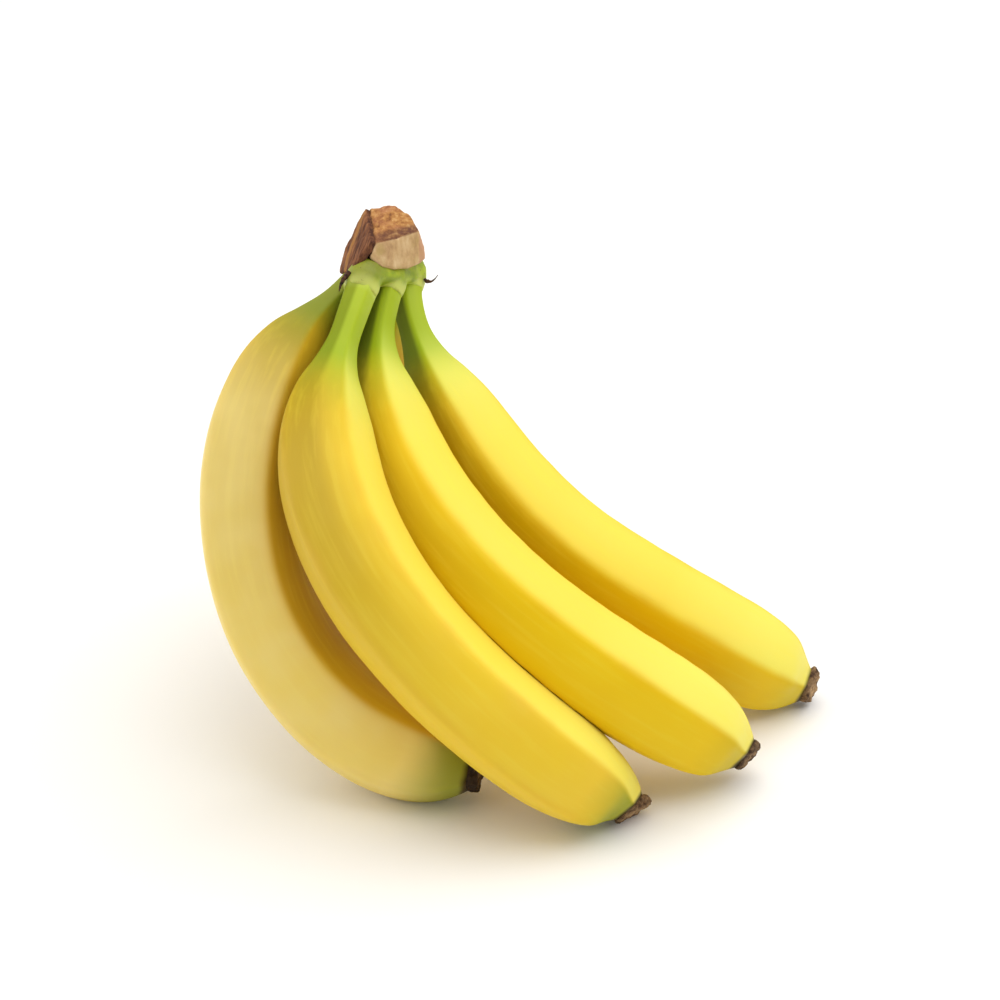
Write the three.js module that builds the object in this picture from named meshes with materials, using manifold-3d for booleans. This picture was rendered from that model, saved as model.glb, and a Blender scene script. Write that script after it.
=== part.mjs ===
// A bunch of five ripe bananas, resting on a table on the bellies of its fingers.
// Millimetres, +Z up, z = 0 is the table, +X is the way the tips sweep, -Y is the front.
// Each finger is a straight turned body with five soft corners, bent along its middle line.

import * as THREE from "three";
import { ConvexGeometry } from "three/addons/geometries/ConvexGeometry.js";
import { mergeVertices } from "three/addons/utils/BufferGeometryUtils.js";
import Module from "manifold-3d";

const wasm = await Module();
wasm.setup();

// Driving dimensions ---------------------------------------------------------

// The middle of the bunch's box, seen from above, which becomes the origin.
const BOX_CENTRE_X = 6.4;
const BOX_CENTRE_Y = -7.4;

// Each finger's middle line is one Bezier curve, from its root at the crown to its tip.
// Girth is the greatest radius of the peel. Roll turns the corners about the middle line.
// Shoulder is how much sooner than the common profile the finger widens below its neck.
const FINGERS = [
  {
    name: "banana_1_left",
    line: [
      [-45, 43, 143], [-68, 13, 130], [-83, 6, 131], [-103, -25, 71],
      [-81, -49, 22], [-26, -57, 14], [-9, -59, 11],
    ],
    girth: 17.2,
    roll: 31,
    shoulder: 0.04,
  },
  {
    name: "banana_2_front",
    line: [
      [-45, 31, 147], [-54, 2, 128], [-64, -24, 118], [-65, -50, 100],
      [-32, -75, 63], [10, -79, 34], [42, -70, 5],
    ],
    girth: 17.0,
    roll: 12,
    shoulder: 0,
  },
  {
    name: "banana_3_middle",
    line: [
      [-37, 42, 142], [-42, 26, 129], [-52, -5, 103], [-26, -33, 83],
      [-1, -53, 65], [47, -59, 40], [81, -48, 11],
    ],
    girth: 17.0,
    roll: 70,
    shoulder: 0.03,
  },
  {
    name: "banana_4_right",
    line: [
      [-31, 54, 137], [-37, 37, 126], [-9, 12, 102], [-8, -13, 65],
      [32, -8, 65], [67, -11, 32], [106, -3, 8],
    ],
    girth: 17.0,
    roll: 55,
    shoulder: 0.01,
  },
  {
    name: "banana_5_back",
    line: [
      [-34, 66, 138], [-32, 65, 113], [-47, 68, 123], [-64, 49, 45],
      [-43, 53, 55], [-38, 38, 4], [38, 37, 18],
    ],
    girth: 16.7,
    roll: 40,
    shoulder: 0.04,
  },
];

// The peel's radius along a finger: [share of the length, share of the girth].
const PEEL_PROFILE = [
  [0, 0.33], [0.06, 0.3], [0.12, 0.32], [0.16, 0.45], [0.2, 0.66], [0.25, 0.85], [0.31, 0.95], [0.4, 1],
  [0.5, 1.01], [0.6, 1.01], [0.7, 1.01], [0.8, 1.01],
  [0.88, 0.97], [0.92, 0.88], [0.95, 0.71], [0.98, 0.48], [1, 0.35],
];
const CORNERS = 5; // a banana's peel has five soft corners
const CORNER_SHARPNESS = 9; // higher is nearer a true pentagon
const FACE_DISTANCE = 0.94; // from the middle line to the middle of a side, as a share of the radius
const SIDES = 20; // facets round a finger, a multiple of CORNERS
const RINGS = 36; // steps along a finger
const LENGTH_SAMPLES = 400; // chords that measure a middle line's length
const WIDEST_BEND = 0.55; // the share of a finger where it bows furthest out

// The dry flower remnant at each tip.
const BLOSSOM_LENGTH = 3.5;
const BLOSSOM_BASE = 0.34; // its radii, as shares of the finger's girth
const BLOSSOM_RIM = 0.3;
const BLOSSOM_FACE = 0.16;
const BLOSSOM_RIM_HEIGHT = 0.7; // how far out the rim is, as a share of the remnant's length

// The crown: a block cut by a knife, over the green collar where the stems grow together.
// The block's corners go round its top, along the foot of its front face, then round its back.
const BLOCK_CORNERS = [
  [-44, 60, 159], [-34, 61, 159], [-30, 54, 159], [-27, 45, 157.5], [-34, 38, 158], [-41, 34.5, 158],
  [-25, 48, 146], [-27, 44, 146], [-31, 40, 146], [-35, 36, 147.6], [-39, 32.5, 150.2], [-43, 32, 153.6],
  [-44, 46, 144], [-48, 68, 140], [-40, 76, 139], [-26, 68, 141],
];
// The torn strip of fibre down the block's left side: its outer face, which way that faces, its depth.
const STRIP_CORNERS = [
  [-45.5, 60, 159.5], [-42.4, 34, 158.8], [-46.1, 31, 155],
  [-49.3, 29, 150], [-54, 46, 142], [-52.5, 50, 148], [-51, 66, 142],
];
const STRIP_FACES = [-0.83, -0.17, 0.54];
const STRIP_DEPTH = 3;
const COLLAR_RISE = 4.5; // how far the collar reaches up behind each stem's root
const COLLAR_REACH = 0.022; // how far down each stem the collar goes, as a share of the finger
const COLLAR_RADIUS = 6.3;

// A bract hair on the right of the collar and a dry fibre hanging at the crown's left.
const HAIR_LINE = [[-24.9, 50, 137], [-23.6, 49.5, 136.3], [-22.4, 49.3, 137], [-21, 49, 139.4]];
const HAIR_RADIUS = 0.6;
const FIBRE_LINE = [[-50.4, 28.4, 150], [-52, 26.6, 148.8], [-52.8, 25, 147.2], [-53.2, 23.6, 145.6]];
const FIBRE_RADIUS = 0.8;
const THREAD_STEPS = 8;
const THREAD_SIDES = 8;

const TABLE_SIZE = 600;
const TABLE_DEPTH = 40;
const SINK = 0.4; // the weight flattens each belly by this much where it rests
const GAP = 0.3; // clearance between pieces that touch
const WELD_DISTANCE = 1e-4; // corners nearer than this are one corner

// Materials ------------------------------------------------------------------

function finish(color, roughness) {
  return new THREE.MeshStandardMaterial({ color, roughness, metalness: 0 });
}

const peel = () => finish(0xe9c93a, 0.45);
const dryBlossom = () => finish(0x4a3220, 0.9);
const crownFlesh = () => finish(0xa9825a, 0.85);
const dryFibre = () => finish(0x3d2a1c, 0.9);

// Curves and sections --------------------------------------------------------

// A Bezier curve of any degree through its control points.
class BezierLine extends THREE.Curve {
  constructor(points) {
    super();
    this.points = points.map((p) => new THREE.Vector3(...p));
    this.arcLengthDivisions = LENGTH_SAMPLES;
  }
  getPoint(t, target = new THREE.Vector3()) {
    let row = this.points.map((p) => p.clone());
    while (row.length > 1) row = row.slice(1).map((p, i) => row[i].clone().lerp(p, t));
    return target.copy(row[0]);
  }
}

// The outward direction of the bend, which the corners are counted from.
function bowDirection(line) {
  const root = line.getPoint(0);
  const chord = line.getPoint(1).sub(root).normalize();
  const middle = line.getPointAt(WIDEST_BEND).sub(root);
  return middle.addScaledVector(chord, -middle.dot(chord)).normalize();
}

// The radius of a rounded five-cornered section at an angle, for a section of radius 1.
function cornerRadius(angle) {
  let sum = 0;
  for (let k = 0; k < CORNERS; k++) {
    const toFace = Math.cos(angle - ((k + 0.5) * 2 * Math.PI) / CORNERS);
    sum += Math.max(0, toFace) ** CORNER_SHARPNESS;
  }
  return FACE_DISTANCE * sum ** (-1 / CORNER_SHARPNESS);
}

// A smooth outline through the peel's profile points.
const profileCurve = new THREE.SplineCurve(PEEL_PROFILE.map(([x, y]) => new THREE.Vector2(x, y)));

// The outline to turn for one finger, its height running from 0 to 1.
function profilePoints(finger, margin) {
  const outline = profileCurve.getSpacedPoints(RINGS).map(({ x, y }) => {
    const share = (x - finger.shoulder) / (1 - finger.shoulder);
    return new THREE.Vector2(y * (finger.girth + margin), Math.max(share, 0));
  });
  return [new THREE.Vector2(0, 0), ...outline, new THREE.Vector2(0, 1)];
}

// Solids ---------------------------------------------------------------------

function toSolid(geometry) {
  const bare = geometry.clone();
  bare.deleteAttribute("normal");
  bare.deleteAttribute("uv");
  const merged = mergeVertices(bare, WELD_DISTANCE);
  const mesh = new wasm.Mesh({
    numProp: 3,
    vertProperties: merged.attributes.position.array,
    triVerts: new Uint32Array(merged.index.array),
  });
  return new wasm.Manifold(mesh);
}

function toMesh(name, solid, material) {
  const { vertProperties, triVerts } = solid.getMesh();
  const geometry = new THREE.BufferGeometry();
  geometry.setAttribute("position", new THREE.BufferAttribute(new Float32Array(vertProperties), 3));
  geometry.setIndex(new THREE.BufferAttribute(new Uint32Array(triVerts), 1));
  geometry.computeVertexNormals();
  const mesh = new THREE.Mesh(geometry, material);
  mesh.name = name;
  return mesh;
}

// Bends a body turned about Y, whose height runs from 0 to 1, along a finger's middle line.
function bendAlong(geometry, finger, line) {
  const bow = bowDirection(line);
  const position = geometry.attributes.position;
  for (let i = 0; i < position.count; i++) {
    const share = THREE.MathUtils.clamp(position.getY(i), 0, 1);
    const along = line.getTangentAt(share);
    const outward = bow.clone().addScaledVector(along, -bow.dot(along)).normalize();
    const sideways = outward.clone().cross(along);
    const angle = Math.atan2(position.getZ(i), position.getX(i));
    const radius = Math.hypot(position.getX(i), position.getZ(i)) * cornerRadius(angle);
    const turned = angle + THREE.MathUtils.degToRad(finger.roll);
    const point = line.getPointAt(share);
    point.addScaledVector(outward, radius * Math.cos(turned));
    point.addScaledVector(sideways, radius * Math.sin(turned));
    point.z -= SINK;
    position.setXYZ(i, point.x, point.y, point.z);
  }
  return geometry;
}

// A finger's peel, or a body wider by the given margin that clears space around it.
function peelSolid(finger, margin = 0) {
  const line = new BezierLine(finger.line);
  const turned = new THREE.LatheGeometry(profilePoints(finger, margin), SIDES);
  return toSolid(bendAlong(turned, finger, line));
}

// The flower remnant continues the finger past its tip, a gap away.
function blossomSolid(finger) {
  const line = new BezierLine(finger.line);
  const end = GAP + BLOSSOM_LENGTH;
  const outline = [
    [0, GAP],
    [BLOSSOM_BASE * finger.girth, GAP],
    [BLOSSOM_RIM * finger.girth, GAP + BLOSSOM_RIM_HEIGHT * BLOSSOM_LENGTH],
    [BLOSSOM_FACE * finger.girth, end],
    [0, end],
  ].map(([x, y]) => new THREE.Vector2(x, y));
  const remnant = new THREE.LatheGeometry(outline, SIDES);
  const up = new THREE.Vector3(0, 1, 0);
  remnant.applyQuaternion(new THREE.Quaternion().setFromUnitVectors(up, line.getTangentAt(1)));
  const tip = line.getPoint(1);
  remnant.translate(tip.x, tip.y, tip.z - SINK);
  return toSolid(remnant);
}

// A round thread along a few points.
function threadSolid(points, radius) {
  const curve = new THREE.CatmullRomCurve3(points.map((p) => new THREE.Vector3(...p)));
  const round = new THREE.Shape().absarc(0, 0, radius, 0, 2 * Math.PI);
  const options = { steps: THREAD_STEPS, curveSegments: THREAD_SIDES, extrudePath: curve };
  return toSolid(new THREE.ExtrudeGeometry(round, options));
}

// The collar wraps the five stem roots and reaches up into the block.
function collarPoints() {
  const points = [];
  for (const finger of FINGERS) {
    const line = new BezierLine(finger.line);
    const rise = line.getPointAt(0).addScaledVector(line.getTangentAt(0), -COLLAR_RISE);
    for (const centre of [rise, line.getPointAt(COLLAR_REACH)]) {
      for (let k = 0; k < SIDES; k++) {
        const angle = (k * 2 * Math.PI) / SIDES;
        const offset = new THREE.Vector3(Math.cos(angle), Math.sin(angle), 0);
        points.push(centre.clone().addScaledVector(offset, COLLAR_RADIUS));
      }
    }
  }
  return points;
}

// The strip's outer corners, and the same corners sunk into the block.
function stripPoints() {
  const inward = new THREE.Vector3(...STRIP_FACES).multiplyScalar(-STRIP_DEPTH);
  const outer = STRIP_CORNERS.map((p) => new THREE.Vector3(...p));
  return [...outer, ...outer.map((p) => p.clone().add(inward))];
}

// A convex body round some points, each pushed out from their middle to clear the margin.
function convexSolid(points, margin) {
  const middle = new THREE.Box3().setFromPoints(points).getCenter(new THREE.Vector3());
  const pushed = points.map((p) => p.clone().addScaledVector(p.clone().sub(middle).normalize(), 2 * margin));
  return toSolid(new ConvexGeometry(pushed));
}

function crownSolid(margin = 0) {
  const block = BLOCK_CORNERS.map((p) => new THREE.Vector3(...p));
  return [block, stripPoints(), collarPoints()]
    .map((points) => convexSolid(points, margin))
    .reduce((crown, piece) => crown.add(piece));
}

// The table that the bellies rest on, as a slab below z = 0.
function tableSolid() {
  const slab = new THREE.BoxGeometry(TABLE_SIZE, TABLE_SIZE, TABLE_DEPTH);
  slab.translate(0, 0, -TABLE_DEPTH / 2);
  return toSolid(slab);
}

// The bunch ------------------------------------------------------------------

function buildBunch() {
  const bunch = new THREE.Group();
  const table = tableSolid();
  const crownSpace = crownSolid(GAP);
  FINGERS.forEach((finger, i) => {
    let solid = peelSolid(finger).subtract(table).subtract(crownSpace);
    for (const earlier of FINGERS.slice(0, i)) {
      solid = solid.subtract(peelSolid(earlier, GAP));
    }
    bunch.add(toMesh(finger.name, solid, peel()));
    const blossomName = finger.name.replace("banana", "blossom_end");
    bunch.add(toMesh(blossomName, blossomSolid(finger).subtract(table), dryBlossom()));
  });
  bunch.add(toMesh("crown", crownSolid(), crownFlesh()));
  bunch.add(toMesh("bract_hair", threadSolid(HAIR_LINE, HAIR_RADIUS).subtract(crownSpace), dryFibre()));
  bunch.add(toMesh("dry_fibre", threadSolid(FIBRE_LINE, FIBRE_RADIUS).subtract(crownSpace), dryFibre()));
  bunch.position.set(-BOX_CENTRE_X, -BOX_CENTRE_Y, 0);
  return bunch;
}

export default buildBunch();
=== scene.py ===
"""A bunch of five ripe bananas resting on a pale table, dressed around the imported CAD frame.

Metres, +Z up, z = 0 is the table, -Y is the front. Each finger is a five-cornered peel bent
along one Bezier curve, the same curve that its CAD solid follows.
"""

import math
from types import SimpleNamespace

import bmesh
import bpy
import numpy as np
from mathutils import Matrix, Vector, noise


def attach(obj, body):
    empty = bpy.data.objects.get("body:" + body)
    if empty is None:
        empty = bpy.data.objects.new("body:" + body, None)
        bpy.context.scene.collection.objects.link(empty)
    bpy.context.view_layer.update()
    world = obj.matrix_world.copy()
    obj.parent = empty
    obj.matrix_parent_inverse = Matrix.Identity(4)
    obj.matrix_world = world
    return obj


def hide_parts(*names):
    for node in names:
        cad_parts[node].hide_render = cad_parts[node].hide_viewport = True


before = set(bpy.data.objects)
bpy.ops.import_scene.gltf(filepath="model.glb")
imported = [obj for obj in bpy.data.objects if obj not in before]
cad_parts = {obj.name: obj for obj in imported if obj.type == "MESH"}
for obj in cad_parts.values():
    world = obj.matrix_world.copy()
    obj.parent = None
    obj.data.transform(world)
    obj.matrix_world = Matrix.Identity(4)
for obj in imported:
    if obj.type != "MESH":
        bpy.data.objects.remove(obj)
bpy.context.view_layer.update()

# Driving dimensions, in millimetres in the CAD source's own frame ---

MM = 0.001
BOX_CENTRE = np.array([6.4, -7.4, 0.0])  # the bunch's middle, which is the frame's origin
SINK = 0.4  # how far the bellies are pressed into the table

# Each finger: its middle line's control points from crown to tip, its greatest radius, how far
# its corners are turned about the line, how much sooner than the common profile it widens below
# its neck, which way its dry tip faces, how green the tip still is, how much pale dusty coat and
# painted sheen its skin has, whether its upper flank is painted pale as if lit or painted in
# shade, how dark the painted shade on the unlit side of its neck is, and which way round the
# light falls for that painted shade. Angles are in degrees round the line, from outward.
FINGERS = {
    "1_left": {
        "line": [
            (-45, 43, 143), (-68, 13, 130), (-83, 6, 131), (-103, -25, 71),
            (-81, -49, 22), (-26, -57, 14), (-9, -59, 11),
        ],
        "girth": 17.2, "roll": 31, "shoulder": 0.04, "tip_faces": (0.95, -0.31, 0.07),
        "tip_green": 0.8, "bloom_and_sheen": 0.72, "flank": "shaded", "neck_shade": 0.7, "lit_from": -40,
    },
    "2_front": {
        "line": [
            (-45, 31, 147), (-54, 2, 128), (-64, -24, 118), (-65, -50, 100),
            (-32, -75, 63), (10, -79, 34), (42, -70, 5),
        ],
        "girth": 17.0, "roll": 12, "shoulder": 0, "tip_faces": (0.33, -0.80, -0.50),
        "tip_green": 0.8, "bloom_and_sheen": 0.12, "flank": "pale", "neck_shade": 0.5, "lit_from": 110,
    },
    "3_middle": {
        "line": [
            (-37, 42, 142), (-42, 26, 129), (-52, -5, 103), (-26, -33, 83),
            (-1, -53, 65), (47, -59, 40), (81, -48, 11),
        ],
        "girth": 17.0, "roll": 70, "shoulder": 0.03, "tip_faces": (0.66, -0.68, -0.32),
        "tip_green": 0.35, "bloom_and_sheen": 0, "flank": "pale", "neck_shade": 0.85, "lit_from": 105,
    },
    "4_right": {
        "line": [
            (-31, 54, 137), (-37, 37, 126), (-9, 12, 102), (-8, -13, 65),
            (32, -8, 65), (67, -11, 32), (106, -3, 8),
        ],
        "girth": 17.0, "roll": 55, "shoulder": 0.01, "tip_faces": (0.85, -0.51, -0.02),
        "tip_green": 0.3, "bloom_and_sheen": 0, "flank": "pale", "neck_shade": 0.8, "lit_from": 105,
    },
    "5_back": {
        "line": [
            (-34, 66, 138), (-32, 65, 113), (-47, 68, 123), (-64, 49, 45),
            (-43, 53, 55), (-38, 38, 4), (38, 37, 18),
        ],
        "girth": 16.7, "roll": 40, "shoulder": 0.04, "tip_faces": (1.0, 0.0, 0.2),
        "tip_green": 0.5, "bloom_and_sheen": 0.2, "flank": "shaded", "neck_shade": 0.2, "lit_from": 105,
    },
}

# The peel's radius along a finger, as (share of its length, share of its girth). Near the tip it
# is up to 0.85 mm slimmer than in the CAD.
PEEL_PROFILE = [
    (0, 0.33), (0.06, 0.3), (0.12, 0.32), (0.16, 0.45), (0.2, 0.66), (0.25, 0.85), (0.31, 0.95),
    (0.4, 1.0), (0.5, 1.01), (0.6, 1.01), (0.7, 1.01), (0.8, 1.01),
    (0.88, 0.96), (0.92, 0.86), (0.95, 0.72), (0.98, 0.49), (1.0, 0.3),
]
PEEL_END = 0.996  # the share of a finger where its peel stops and its dry tip starts
CORNERS = 5
CORNER_SHARPNESS = 14  # of the flat-sided section that is mixed with a round one
FACE_DISTANCE = 0.93  # of the flat sides from the middle line, as a share of the radius
RINGS = 200
AROUND = 100  # points in each ring
LENGTH_SAMPLES = 400  # chords that measure a middle line
WIDEST_BEND = 0.55  # the share of a finger where it bows furthest out
NOISE_STEP = (7.3, 3.1, 5.7)  # how far apart the noises of one seed and the next lie


# Small helpers ---

def unit(vectors):
    return vectors / np.linalg.norm(vectors, axis=-1, keepdims=True)


def full_turn(count):
    """Evenly spaced angles all the way round."""
    return np.arange(count) * math.tau / count


def ring_ways(first, second, angles):
    """The ways out from a middle at each angle, from the first of two ways across to the second."""
    return first[..., None, :] * np.cos(angles)[:, None] + second[..., None, :] * np.sin(angles)[:, None]


def place(points):
    """Points in the CAD source's millimetres, in the frame's metres."""
    return (np.array(points, float) - BOX_CENTRE) * MM


def smoothstep(low, high, value):
    share = np.clip((value - low) / (high - low), 0, 1)
    return share * share * (3 - 2 * share)


def plateau(bounds, value):
    """Rises from 0 to 1 between the first two bounds, and falls back between the last two."""
    start, full, fading, end = bounds
    return smoothstep(start, full, value) * (1 - smoothstep(fading, end, value))


def smooth_noise(points, size, seed):
    """Smooth noise from -1 to 1 at each point, with features of the given size."""
    shift = Vector([seed * step for step in NOISE_STEP])
    flat = points.reshape(-1, 3) / size
    values = [noise.noise(Vector(p) + shift) for p in flat]
    return np.array(values).reshape(points.shape[:-1])


def relief(points, size, height, seed):
    """How far noise lifts each point, when its features' size and height are in millimetres."""
    return height * smooth_noise(points, size * MM, seed)


def srgb(red, green, blue):
    """A colour given as 0 to 255 screen values, as the linear colour that shaders take."""
    shares = [c / 255 for c in (red, green, blue)]
    linear = [c / 12.92 if c <= 0.04045 else ((c + 0.055) / 1.055) ** 2.4 for c in shares]
    return (*linear, 1)


def linked_object(name, data):
    made = bpy.data.objects.new(name, data)
    bpy.context.scene.collection.objects.link(made)
    return made


def new_piece(name, vertices, faces, material, attributes=()):
    """A smooth-shaded mesh object that rides on the bunch, with number or vector attributes."""
    mesh = bpy.data.meshes.new(name)
    mesh.from_pydata(np.asarray(vertices).reshape(-1, 3).tolist(), [], faces)
    for key, values in dict(attributes).items():
        is_vector = values.reshape(len(mesh.vertices), -1).shape[1] == 3
        kind, field = ("FLOAT_VECTOR", "vector") if is_vector else ("FLOAT", "value")
        attribute = mesh.attributes.new(key, kind, "POINT")
        attribute.data.foreach_set(field, values.astype(np.float32).ravel())
    mesh.polygons.foreach_set("use_smooth", [True] * len(mesh.polygons))
    mesh.materials.append(material)
    piece = linked_object(name, mesh)
    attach(piece, "root")
    return piece


def grid_faces(rows, columns):
    """The quads of a tube of rows that close on themselves, and a fan at each end.

    The two end points come after the grid's own points."""
    faces = []
    for row in range(rows - 1):
        for column in range(columns):
            beside = (column + 1) % columns
            low, high = row * columns, (row + 1) * columns
            faces.append((low + column, low + beside, high + beside, high + column))
    first, last = rows * columns, rows * columns + 1
    top = (rows - 1) * columns
    for column in range(columns):
        beside = (column + 1) % columns
        faces.append((first, beside, column))
        faces.append((last, top + column, top + beside))
    return faces


def with_end_points(grid):
    """A tube's points as one list, and after them the middle of its first row and of its last."""
    return np.vstack([grid.reshape(-1, 3), grid[0].mean(0), grid[-1].mean(0)])


# Middle lines and sections ---

class MiddleLine:
    """A finger's middle line, one Bezier curve, read by the share of its length."""

    def __init__(self, control_points):
        self.controls = place(control_points) - [0, 0, SINK * MM]
        self.steps = np.linspace(0, 1, LENGTH_SAMPLES + 1)
        samples = self.curve(self.controls, self.steps)
        chords = np.linalg.norm(np.diff(samples, axis=0), axis=1)
        self.distance = np.concatenate([[0], np.cumsum(chords)])
        self.length = self.distance[-1]
        chord = unit(samples[-1] - samples[0])
        middle = self.at(WIDEST_BEND) - samples[0]
        self.bow = unit(middle - chord * middle.dot(chord))

    @staticmethod
    def curve(controls, steps):
        """The Bezier curve's points at some steps from 0 to 1, by repeated blending."""
        row = [np.outer(np.ones_like(steps), point) for point in controls]
        while len(row) > 1:
            row = [a + (b - a) * steps[:, None] for a, b in zip(row, row[1:])]
        return row[0]

    def step(self, share):
        """The curve's step at a share of its length."""
        return np.interp(np.atleast_1d(share) * self.length, self.distance, self.steps)

    def at(self, share):
        points = self.curve(self.controls, self.step(share))
        return points[0] if np.isscalar(share) else points

    def frames(self, shares):
        """The points, the way along, the way outward of the bend, and sideways, at some shares."""
        along = unit(self.curve(np.diff(self.controls, axis=0), self.step(shares)))
        outward = unit(self.bow - along * (along @ self.bow)[:, None])
        return self.at(shares), along, outward, np.cross(outward, along)


def section(angle, crispness):
    """The radius of a rounded five-cornered section at an angle. Crispness 0 is a plain circle."""
    total = 0
    for k in range(CORNERS):
        to_face = np.cos(angle - (k + 0.5) * math.tau / CORNERS)
        total = total + np.maximum(0, to_face) ** CORNER_SHARPNESS
    return 1 + crispness * (FACE_DISTANCE * total ** (-1 / CORNER_SHARPNESS) - 1)


def profile_share(finger, share):
    """Where a share of a finger falls on the common profile."""
    return share + finger["shoulder"] * (1 - share)


def peel_radius(finger, share):
    """The peel's round radius in metres, from a smooth curve through its profile points."""
    share = profile_share(finger, share)
    x, y = np.array(PEEL_PROFILE).T
    slope = np.gradient(y, x)
    k = np.clip(np.searchsorted(x, share) - 1, 0, len(x) - 2)
    width = x[k + 1] - x[k]
    t = (share - x[k]) / width
    rise = (2 * t**3 - 3 * t**2 + 1) * y[k] + (3 * t**2 - 2 * t**3) * y[k + 1]
    lean = (t**3 - 2 * t**2 + t) * slope[k] + (t**3 - t**2) * slope[k + 1]
    return finger["girth"] * MM * (rise + lean * width)


# Node graphs ---

# Which of a Mix node's sockets are the ones for colours, as some share a name.
FIRST_COLOUR, SECOND_COLOUR = 6, 7
MIXED_COLOUR = 2
TRANSLUCENCY = 0.1


class Finish:
    """A material, with short calls for the nodes that its finish needs."""

    def __init__(self, name, roughness, specular):
        self.material = bpy.data.materials.new(name)
        self.material.use_nodes = True
        self.nodes = self.material.node_tree.nodes
        self.links = self.material.node_tree.links
        self.shader = self.nodes["Principled BSDF"]
        self.surface("Roughness", roughness)
        self.surface("Specular IOR Level", specular)

    def feed(self, socket, value):
        """Links a socket's value, or sets a plain one."""
        if isinstance(value, bpy.types.NodeSocket):
            self.links.new(value, socket)
        else:
            socket.default_value = value

    def surface(self, name, value):
        self.feed(self.shader.inputs[name], value)

    def node(self, kind, inputs, **settings):
        """A new node with some settings, and with its inputs fed."""
        made = self.nodes.new(f"ShaderNode{kind}")
        for key, value in settings.items():
            setattr(made, key, value)
        for key, value in inputs.items():
            self.feed(made.inputs[key], value)
        return made

    def attribute(self, name, output="Fac"):
        return self.node("Attribute", {}, attribute_name=name).outputs[output]

    def position(self):
        return self.node("TexCoord", {}).outputs["Object"]

    def stretched(self, vector, scale):
        return self.node("Mapping", {"Vector": vector, "Scale": scale}).outputs["Vector"]

    def noise(self, vector, size, detail=3, roughness=0.5):
        inputs = {"Vector": vector, "Scale": 1 / size, "Detail": detail, "Roughness": roughness}
        return self.node("TexNoise", inputs).outputs["Fac"]

    def math(self, operation, first, second):
        return self.node("Math", {0: first, 1: second}, operation=operation).outputs["Value"]

    def times(self, first, second):
        return self.math("MULTIPLY", first, second)

    def plus(self, first, second):
        return self.math("ADD", first, second)

    def range(self, value, between, to=(0, 1)):
        """Turns smoothly from the first result to the second while the value passes two bounds."""
        limits = dict(zip(("From Min", "From Max", "To Min", "To Max"), (*between, *to)))
        node = self.node("MapRange", {"Value": value, **limits}, interpolation_type="SMOOTHSTEP")
        return node.outputs["Result"]

    def ramp(self, value, stops):
        """A colour that follows the value through some stops, each a place and a colour."""
        node = self.node("ValToRGB", {"Fac": value})
        elements = node.color_ramp.elements
        while len(elements) < len(stops):
            elements.new(1)
        for element, (where, colour) in zip(elements, stops):
            element.position = where
            element.color = colour
        return node.outputs["Color"]

    def mix(self, share, first, second):
        """The first colour, with a share of the second laid over it."""
        inputs = {"Factor": share, FIRST_COLOUR: first, SECOND_COLOUR: second}
        return self.node("Mix", inputs, data_type="RGBA").outputs[MIXED_COLOUR]

    def marked(self, name, first, second):
        """The first colour, with the second over it as far as a vertex attribute says."""
        return self.mix(self.attribute(name), first, second)

    def bump(self, height, distance, strength=1):
        inputs = {"Distance": distance, "Strength": strength, "Height": height}
        self.surface("Normal", self.node("Bump", inputs).outputs["Normal"])

    def translucent(self, depth, shares):
        """Lets some light in to a depth, of which red, green and blue reach these shares."""
        self.surface("Subsurface Weight", TRANSLUCENCY)
        self.surface("Subsurface Radius", shares)
        self.surface("Subsurface Scale", depth)

    def colour(self, value):
        self.surface("Base Color", value)


# Materials ---

PALE_GREEN = srgb(206, 216, 110)
STEM_GREEN = srgb(162, 181, 28)
# Painted shade on the side of a neck that faces away from the light.
NECK_SHADE = srgb(84, 94, 6)
RIPE_YELLOW = srgb(238, 200, 6)
DEEP_YELLOW = srgb(230, 182, 2)
PALE_YELLOW = srgb(246, 224, 70)
# Painted shade: a duller yellow for the side of the body away from the light.
SIDE_SHADE_YELLOW = srgb(180, 146, 0)
# Painted light: the paler yellow of an upper flank that faces the light.
LIT_FLANK_YELLOW = srgb(243, 219, 80)
RIDGE_YELLOW = srgb(222, 172, 20)
# Part a dusty coat on the skin and part painted sheen, as on the left finger's left side.
BLOOM_AND_SHEEN_TAN = srgb(243, 222, 145)
OLIVE = srgb(128, 146, 14)
DRY_STAIN = srgb(74, 60, 24)

# Colours along a finger, each with the share of its length where it is reached.
RIPENING = [
    (0.0, PALE_GREEN), (0.03, srgb(170, 188, 38)), (0.07, STEM_GREEN), (0.14, srgb(154, 174, 14)),
    (0.18, srgb(174, 176, 18)), (0.22, srgb(196, 178, 14)), (0.27, srgb(224, 190, 8)), (0.33, RIPE_YELLOW),
]
# Painted light and shade on the upper flank, along the finger: pale as if lit, and darker in painted shade
# on the fingers whose flank is shaded.
FLANK_LIGHT_AND_SHADE = {
    "pale": [
        (0.15, srgb(214, 222, 96)), (0.34, LIT_FLANK_YELLOW), (0.68, LIT_FLANK_YELLOW), (0.88, srgb(240, 232, 104)),
    ],
    "shaded": [(0.68, srgb(192, 148, 4)), (0.88, srgb(228, 186, 10))],
}
RIPENING_SWAY = 0.06  # how unevenly the colours are reached round a finger

# Where the skin changes along a finger, as shares of its length.
RIPE_STARTS = (0.14, 0.28)
NECK_SHADE_ENDS = (0.2, 0.38)
# Where the painted shade on the body's unlit side fades out.
SIDE_SHADE_ENDS = (0.28, 0.75)
FLANK_LIGHT_STARTS = (0.1, 0.22)
BLOOM_AND_SHEEN_SPREADS = (0.18, 0.36)
TIP_GREENS = (0.89, 0.98)
STAIN_STARTS = (PEEL_END - 0.012, PEEL_END)

# How far a side has to face the light, from -1 to 1, to start to lose its painted shade and to lose it all.
NECK_SHADE_LIT = (0.3, 0.6)
SIDE_SHADE_LIT = (0.36, 0.95)

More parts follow.
